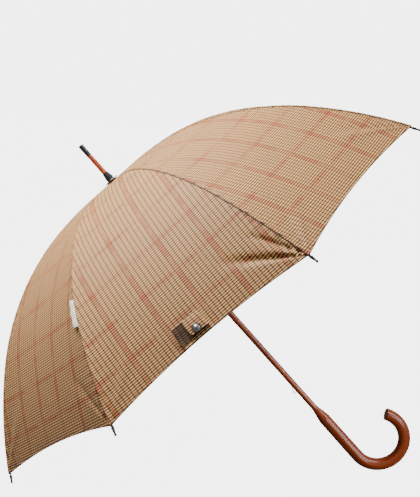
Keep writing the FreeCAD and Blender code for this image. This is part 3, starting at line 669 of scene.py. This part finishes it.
def seam(number, rows_from, rows_to, label):
    """The folded seam that lies along a rib, wider on one side than the other."""
    rows = np.append(np.arange(rows_from, rows_to, SEAM_STEP), rows_to)
    half = half_width(rows)
    before = (number - 2) % RIBS + 1
    ripple = 1 + SEAM_RIPPLE * np.sin(rows * 2 * math.pi / SEAM_RIPPLE_PITCH + number)
    lines = []
    for side, away, lift in SEAM_LINES:
        panel = before if side < 0 else number
        across = (half - np.minimum(away, 0.5 * half)) * (1 if side < 0 else -1)
        normal = cloth_normal(panel, rows, across)
        lines.append(cloth_point(panel, rows, across) + normal * (lift * ripple)[:, None])
    points = np.stack(lines, 1)[:, ::-1]
    down = np.interp(rows, *CENTRE)
    shift = number * np.array(CHECK_SHIFT)
    across_map = np.outer(np.ones(len(rows)), SEAM_SHARES * SEAM_WIDE) - half[:, None] + shift[0]
    down_map = np.outer(down, np.ones(len(SEAM_SHARES))) + shift[1]
    uv = np.stack([across_map, down_map], -1)
    edge = np.full(uv.shape, AWAY_FROM_EDGES)
    thick = np.full(points.shape[:2], SEAM_THICK)
    return grid_mesh(f"seam_{label}_{number}", points, grid_normals(points), uv, edge, thick)


def make_cloth(number):
    """The seam along one rib and the strips of cloth on either side of it."""
    inner = seam(number, CLOTH_START + SEAM_START, FLEX_AT, "inner")
    finish_piece(inner, CLOTH, f"rib_{number}", "canopy_fabric")
    outer = seam(number, FLEX_AT, CLOTH_END - SEAM_END, "outer")
    finish_piece(outer, CLOTH, f"rib_end_{number}", "canopy_fabric")
    for side in (-1, 1):
        for strip, (rows_from, rows_to, body, keep) in enumerate(STRIPS):
            piece = cloth_strip(number, side, strip, rows_from, rows_to)
            on_inner = body == "rib"
            node = "canopy_crown" if on_inner else "canopy_skirt"
            finish_piece(piece, CLOTH, f"{body}_{number}", "canopy_fabric", f"{node}_{number}")
            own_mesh(piece)
            width = float(half_width(rows_to))
            length = float(np.interp(rows_to, *CENTRE) - np.interp(rows_from, *CENTRE))
            area = length * (float(half_width(rows_from)) + width) / 2
            if strip == LAST_STRIP:
                area -= SCALLOP * width * SCALLOP_SHARE


for number in range(1, RIBS + 1):
    make_cloth(number)


# ---------------------------------------------------------------- small pieces
def lathe(name, outline, turns=48, centre=(0, 0, 0), axis=None):
    """A turned piece: an outline of (radius, height) carried round an axis."""
    up = UP if axis is None else np.asarray(axis, float)
    first = unit(np.cross(up, SIDE if abs(up.dot(SIDE)) < 0.9 else OPEN))
    second = np.cross(up, first)
    verts = []
    for step in range(turns):
        angle = 2 * math.pi * step / turns
        out = first * math.cos(angle) + second * math.sin(angle)
        verts += [tuple(np.asarray(centre) + out * r + up * z) for r, z in outline]
    size = len(outline)
    faces = []
    for step in range(turns):
        for spot in range(size):
            after = (spot + 1) % size
            a = step * size
            b = (step + 1) % turns * size
            faces.append((a + spot, b + spot, b + after, a + after))
    mesh = bpy.data.meshes.new(name)
    mesh.from_pydata(verts, [], faces)
    shape = bmesh.new()
    shape.from_mesh(mesh)
    bmesh.ops.remove_doubles(shape, verts=shape.verts, dist=1e-7)
    bmesh.ops.dissolve_degenerate(shape, dist=1e-7, edges=shape.edges)
    bmesh.ops.recalc_face_normals(shape, faces=shape.faces)
    shape.to_mesh(mesh)
    shape.free()
    mesh.polygons.foreach_set("use_smooth", [True] * len(mesh.polygons))
    piece = bpy.data.objects.new(name, mesh)
    bpy.context.scene.collection.objects.link(piece)
    return piece


def on_axis(z):
    """A point on the stick's middle line."""
    return ORIGIN + UP * z


def scaled(section):
    """A section given in millimetres, in metres."""
    return [(r * MM, z * MM) for r, z in section]


STRAP_PANEL = 6
STRAP_ALONG = RIB_LENGTH - 39 * MM
STRAP_WIDE = 30 * MM
STRAP_CLEAR = 0.55 * MM
STRAP_SPACING = 1.5 * MM
STRAP_THICK = 0.7 * MM
STRAP_COLUMNS = 17
STRAP_CORNER = 7 * MM
STRAP_DOME = 1.2 * MM
STRAP_SWAY = 0.07
STRAP_RIM = 0.3 * MM
STRAP_MAP_SHIFT = 0.2
SHARP_TURN_DEG = 60
FLAP_ROW = 4
FLAP_LONG = 34 * MM
FLAP_EASE = 8 * MM
# The strap's route as seen along the panel: run length and turn, from its free end to the curl.
STRAP_START = (-15.5 * MM, 6.6 * MM, -2.0)
STRAP_ROUTE = ((12 * MM, -4.0), (17 * MM, -7.0), (6.0 * MM, -167.0), (41 * MM, 0.0), (15 * MM, -100.0))
SNAP_ACROSS = -1.4 * MM
SNAP_COLUMN = 13
SNAP_ROWS = 18


def panel_frame(panel, along, across):
    """A point on the cloth with the ways across the panel, down it and out of it."""
    here = cloth_point(panel, np.array(along), np.array(across))
    down = cloth_point(panel, np.array(along + 5 * MM), np.array(across)) - here
    down = unit(down)
    side = tangent(rib_angle(panel) + PITCH_DEG / 2)
    return here, side, down, unit(np.cross(down, side))


def strap_route():
    """Places, heights and headings along the strap, from its arcs."""
    across, high, degrees = STRAP_START
    heading = math.radians(degrees)
    spots = [(across, high, heading)]
    for length, turn in STRAP_ROUTE:
        steps = max(2, round(length / STRAP_SPACING) * (2 if abs(turn) > SHARP_TURN_DEG else 1))
        for _step in range(steps):
            heading += math.radians(turn) / steps / 2
            across += math.cos(heading) * length / steps
            high += math.sin(heading) * length / steps
            heading += math.radians(turn) / steps / 2
            spots.append((across, high, heading))
    return np.array(spots)


def make_strap():
    """The tie band: folded over at one side, with its reverse side showing where it curls open, coloured as
    the check in painted shade.
    """
    here, side, down, out = panel_frame(STRAP_PANEL, STRAP_ALONG, 0.0)
    route = strap_route()
    lowest = route[:, 1].min()
    lift = route[:, 1] - lowest + STRAP_CLEAR
    length = np.concatenate([[0], np.cumsum(np.hypot(np.diff(route[:, 0]), np.diff(route[:, 1])))])
    share = np.linspace(-1, 1, STRAP_COLUMNS)
    near_end = np.clip(1 - length / STRAP_CORNER, 0, 1)
    half = STRAP_WIDE / 2 - STRAP_CORNER * (1 - np.sqrt(1 - near_end ** 2))
    offset = np.outer(half, share)
    dome = STRAP_DOME * (1 - share ** 2)
    flap = smooth((FLAP_LONG - length) / FLAP_EASE)
    height = lift[:, None] + np.outer(flap, dome)
    sway = STRAP_SWAY * np.sin(length / length[-1] * 5)[:, None] * offset
    points = (here + np.multiply.outer(route[:, 0][:, None] + sway, side)
              + np.multiply.outer(offset, down) + np.multiply.outer(height, out))
    normals = grid_normals(points)
    snap_row = int(np.argmin(np.abs(route[:SNAP_ROWS, 0] - SNAP_ACROSS)))
    snap_spot = points[snap_row, SNAP_COLUMN].copy()
    if normals[FLAP_ROW, STRAP_COLUMNS // 2].dot(out) < 0:
        points = points[:, ::-1]
        normals = -normals[:, ::-1]
    uv = np.stack([np.broadcast_to(length[:, None], offset.shape), offset + STRAP_MAP_SHIFT], -1)
    # The distance to the strap's rim fills the hem measure, so the painted shade along the hem's edge draws a
    # dark outline round the strap, and the hem stitching follows its rim.
    to_rim = np.minimum(STRAP_WIDE / 2 - np.abs(offset), length[:, None]) + STRAP_RIM
    edge = np.stack([to_rim, np.full(offset.shape, AWAY_FROM_EDGES)], -1)
    piece = grid_mesh("strap_band", points, normals, uv, edge, np.full(offset.shape, STRAP_THICK))
    piece.data.materials.append(CLOTH)
    piece.data.materials.append(CLOTH_BACK_PAINTED_SHADE)
    outer_faces = (points.shape[0] - 1) * (points.shape[1] - 1)
    # The band's reverse faces take the check in painted shade.
    painted_shade_faces = np.zeros(len(piece.data.polygons), np.int32)
    painted_shade_faces[outer_faces:2 * outer_faces] = 1
    piece.data.polygons.foreach_set("material_index", painted_shade_faces)
    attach(piece, "tie_strap")
    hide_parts("strap")
    return snap_spot, normals[snap_row, len(share) - 1 - SNAP_COLUMN]


# Sections of turned pieces, in millimetres: radius and height.
SNAP_OUTLINE = ((0, 0), (5.0, 0), (5.6, 0.25), (5.75, 0.7), (5.5, 1.15), (5.0, 1.2), (4.7, 0.95), (4.3, 1.15),
                (3.4, 1.8), (2.0, 2.25), (0, 2.45))
SNAP_RING = ((5.4, -0.5), (7.2, -0.45), (7.7, 0.1), (7.2, 0.7), (5.4, 0.8))
BRIGHT_RING = ((6.75, 4.35), (7.25, 4.5), (7.35, 5.5), (7.25, 6.6), (6.75, 6.8))


def make_snap(at, way):
    """The snap's domed cap and the dark ring sewn round it."""
    cap = lathe("snap_cap", scaled(SNAP_OUTLINE), centre=at, axis=way)
    finish_piece(cap, PEWTER, "tie_strap", "snap_metal", "snap_button")
    ring = lathe("snap_ring", scaled(SNAP_RING), centre=at, axis=way)
    finish_piece(ring, DARK_THREAD, "tie_strap", "snap_metal")


LABEL_RIB = 6
LABEL_FROM = 364 * MM
LABEL_LONG = 50 * MM
LABEL_WIDE = 8.6 * MM
LABEL_THICK = 0.4 * MM
LABEL_CLEAR = 1.3 * MM
LABEL_WAVE = 0.4 * MM
LABEL_TILT = 42.0
LABEL_CURL = 26


def make_label():
    """A blank woven tab caught in the seam, standing off the panel beside it."""
    panel = LABEL_RIB - 1
    rows = np.linspace(LABEL_FROM, LABEL_FROM + LABEL_LONG, 30)
    share = np.linspace(0, 1, 9)
    along, wide = np.meshgrid(rows, share * LABEL_WIDE, indexing="ij")
    tilt = np.radians(LABEL_TILT + LABEL_CURL * (0.5 - wide / LABEL_WIDE))
    wave = LABEL_WAVE * np.sin(along * 130) * wide / LABEL_WIDE
    high = wide * np.sin(tilt) + LABEL_CLEAR + wave
    across = half_width(along) - wide * np.cos(tilt)
    panel_normals = cloth_normal(panel, along, across)
    points = cloth_point(panel, along, across) + panel_normals * high[..., None]
    normals = grid_normals(points)
    if normals[0, 0].dot(panel_normals[0, 0]) < 0:
        points, normals, along, wide = (item[:, ::-1] for item in (points, -normals, along, wide))
    uv = np.stack([wide, along], -1)
    edge = np.full(uv.shape, AWAY_FROM_EDGES)
    piece = grid_mesh("woven_label", points, normals, uv, edge, np.full(wide.shape, LABEL_THICK))
    finish_piece(piece, TAPE, f"rib_end_{LABEL_RIB}", "label_fabric", "label")


COLLAR_COLUMNS = 193
COLLAR_ROWS = 8
COLLAR_PLEATS = 28
COLLAR_PLEAT = 0.35 * MM
COLLAR_R = 13.9
COLLAR_IN = 4.6
COLLAR_FOOT = -1.85
COLLAR_HIGH = 3.85


def make_collar():
    """The middle of the cloth, gathered in small pleats under the rosette."""
    turn = np.linspace(0, 2 * math.pi, COLLAR_COLUMNS)
    rise = np.linspace(0, 1, COLLAR_ROWS)
    angle, up = np.meshgrid(turn, rise, indexing="ij")
    pleat = np.sin(angle * COLLAR_PLEATS + 1.2 * np.sin(angle * 3)) * COLLAR_PLEAT
    r = (COLLAR_R - COLLAR_IN * up) * MM + pleat * (1 - 0.4 * up)
    z = (COLLAR_FOOT + COLLAR_HIGH * np.sin(up * math.pi / 2)) * MM
    points = place(r * np.cos(angle), r * np.sin(angle), z)
    uv = np.stack([angle * 12 * MM, up * 6 * MM], -1)
    edge = np.full(uv.shape, AWAY_FROM_EDGES)
    thick = np.full(r.shape, CLOTH_THICK)
    piece = grid_mesh("gathered_collar", points, grid_normals(points), uv, edge, thick)
    finish_piece(piece, CLOTH, "frame", "canopy_fabric")


TIE_R = 2.6
TIE_TURN = 0.3
TIE_ENDS = ((2.25, 0.4), (2.25, 2.4))
TIE_TURNS = [(TIE_R + 0.15 * (turn % 2), 0.5 + TIE_TURN * turn) for turn in range(7)]


def make_tie(number):
    """The turns of thread that hold the cloth to a rib's tip."""
    r, z, heading = rib_curve(np.array([RIB_LENGTH]), 0.0)
    out = radial(rib_angle(number))
    outward = out * math.cos(heading[0]) + UP * math.sin(heading[0])
    end = ORIGIN + out * r[0] + UP * z[0]
    section = scaled((TIE_ENDS[0], *TIE_TURNS, TIE_ENDS[1]))
    tie = lathe(f"thread_tie_{number}", section, 20, end, outward)
    finish_piece(tie, DARK_THREAD, f"rib_end_{number}", "tip_metal")


RUNNER_WIRE_R = 12.5 * MM
RUNNER_WIRE_THICK_R = 0.5 * MM
RUNNER_WIRE_Z = -120 * MM


def make_runner_wire():
    """The wire ring that the struts' eyes turn on."""
    section = [(RUNNER_WIRE_R + RUNNER_WIRE_THICK_R * math.cos(angle), RUNNER_WIRE_THICK_R * math.sin(angle))
               for angle in np.linspace(0, 2 * math.pi, 9)[:-1]]
    ring = lathe("runner_wire", section, centre=on_axis(RUNNER_WIRE_Z))
    finish_piece(ring, BRIGHT, "runner", "spring_wire")


snap_at, snap_way = make_strap()
make_snap(snap_at, snap_way)
make_label()
make_collar()
finish_piece(lathe("bright_ring", scaled(BRIGHT_RING), centre=ORIGIN), BRIGHT, "frame", "notch_metal")
for number in range(1, RIBS + 1):
    make_tie(number)
make_runner_wire()

# ---------------------------------------------------------------- camera, light and floor
# The camera's place, and its right and forward ways, along the umbrella's own axes.
CAMERA_AT = (198.3 * MM, -1822.0 * MM, 3.0 * MM)
CAMERA_RIGHT = (0.7518, -0.0204, -0.6590)
CAMERA_AHEAD = (-0.0784, 0.9897, -0.1201)
LENS_MM = 69.7


def own_way(parts):
    """A direction given along the umbrella's own axes."""
    return unit(OPEN * parts[0] + SIDE * parts[1] + UP * parts[2])


def pose_matrix(right, up, back, at):
    """The matrix of a thing that looks opposite to back from a place."""
    return Matrix([[right[i], up[i], back[i], at[i]] for i in range(3)] + [[0, 0, 0, 1]])


def make_camera():
    """The camera on the side that shows the crown, the strap and the crook."""
    right = own_way(CAMERA_RIGHT)
    back = -own_way(CAMERA_AHEAD)
    up = unit(np.cross(back, right))
    right = np.cross(up, back)
    data = bpy.data.cameras.new("camera")
    data.lens = LENS_MM
    data.sensor_width = 36
    data.clip_end = 50
    camera = bpy.data.objects.new("camera", data)
    camera.matrix_world = pose_matrix(right, up, back, place(*CAMERA_AT))
    bpy.context.scene.collection.objects.link(camera)
    bpy.context.scene.camera = camera


def make_light(name, at, aim, size, power):
    """A rectangular lamp that looks at a point."""
    data = bpy.data.lights.new(name, "AREA")
    data.shape = "RECTANGLE"
    data.size = size[0]
    data.size_y = size[1]
    data.energy = power
    lamp = bpy.data.objects.new(name, data)
    lamp.location = at
    way = Vector(aim) - Vector(at)
    lamp.rotation_euler = way.to_track_quat("-Z", "Y").to_euler()
    bpy.context.scene.collection.objects.link(lamp)
    return lamp


# How strong the surround is to the camera, to the umbrella's matt faces and to its gloss.
SEEN = 5.0
AMBIENT = 0.12
MIRRORED = 0.35
KEY_AT = (0.22, -0.2, 0.92)
KEY_AIM = (0.05, -0.1, -0.15)
KEY_SIZE = (0.5, 0.5)
KEY_POWER = 38
FRONT_AT = (1.9, -2.3, 0.5)
FRONT_AIM = (0.2, 0, 0.2)
FRONT_SIZE = (0.9, 0.9)
FRONT_POWER = 18
STRIP_AT = (1.6, -1.1, 1.65)
STRIP_AIM = (0.2, 0, 0.15)
STRIP_SIZE = (2.6, 0.2)
STRIP_POWER = 40
FLOOR_HALF = 30.0
FLOOR_GREY = srgb(96, 96, 96)
FLOOR_GREY_DARK = srgb(90, 90, 90)


def make_strip(name, at, along, aim, size, power):
    """A long narrow lamp whose length lies along a direction."""
    lamp = make_light(name, at, aim, size, power)
    back = (Vector(at) - Vector(aim)).normalized()
    right = Vector(along) - back * back.dot(Vector(along))
    right.normalize()
    up = back.cross(right)
    lamp.matrix_world = pose_matrix(right, up, back, at)


def make_floor():
    """A floor that the camera sees white, but that throws little light back on the umbrella."""
    n = Nodes("pale_floor")
    soft = n.noise(n.add("ShaderNodeTexCoord").outputs["Object"], 2.0, 2.0)
    n.feed(n.shader.inputs["Base Color"], n.mix(n.math("MULTIPLY", soft, 0.3), FLOOR_GREY, FLOOR_GREY_DARK))
    n.shader.inputs["Roughness"].default_value = 0.9
    n.shader.inputs["Emission Color"].default_value = (1, 1, 1, 1)
    seen_directly = n.add("ShaderNodeLightPath").outputs["Is Camera Ray"]
    n.feed(n.shader.inputs["Emission Strength"], n.math("MULTIPLY", seen_directly, SEEN))
    mesh = bpy.data.meshes.new("floor")
    corners = [(x * FLOOR_HALF, y * FLOOR_HALF, 0) for x, y in ((-1, -1), (1, -1), (1, 1), (-1, 1))]
    mesh.from_pydata(corners, [], [(0, 1, 2, 3)])
    mesh.materials.append(n.material)
    floor = bpy.data.objects.new("floor", mesh)
    bpy.context.scene.collection.objects.link(floor)


def make_surround():
    """A white surround, seen far brighter than it shines."""
    world = bpy.data.worlds.new("studio")
    world.use_nodes = True
    tree = world.node_tree
    background = tree.nodes["Background"]
    background.inputs["Color"].default_value = (1, 1, 1, 1)
    path = tree.nodes.new("ShaderNodeLightPath")
    mirrored = tree.nodes.new("ShaderNodeMix")
    tree.links.new(path.outputs["Is Glossy Ray"], mirrored.inputs["Factor"])
    mirrored.inputs["A"].default_value = AMBIENT
    mirrored.inputs["B"].default_value = MIRRORED
    seen = tree.nodes.new("ShaderNodeMix")
    tree.links.new(path.outputs["Is Camera Ray"], seen.inputs["Factor"])
    tree.links.new(mirrored.outputs["Result"], seen.inputs["A"])
    seen.inputs["B"].default_value = SEEN
    tree.links.new(seen.outputs["Result"], background.inputs["Strength"])
    bpy.context.scene.world = world


make_camera()
make_light("key", place(*KEY_AT), place(*KEY_AIM), KEY_SIZE, KEY_POWER)
make_light("front", FRONT_AT, FRONT_AIM, FRONT_SIZE, FRONT_POWER)
make_strip("strip", STRIP_AT, -UP, STRIP_AIM, STRIP_SIZE, STRIP_POWER)
make_floor()
make_surround()
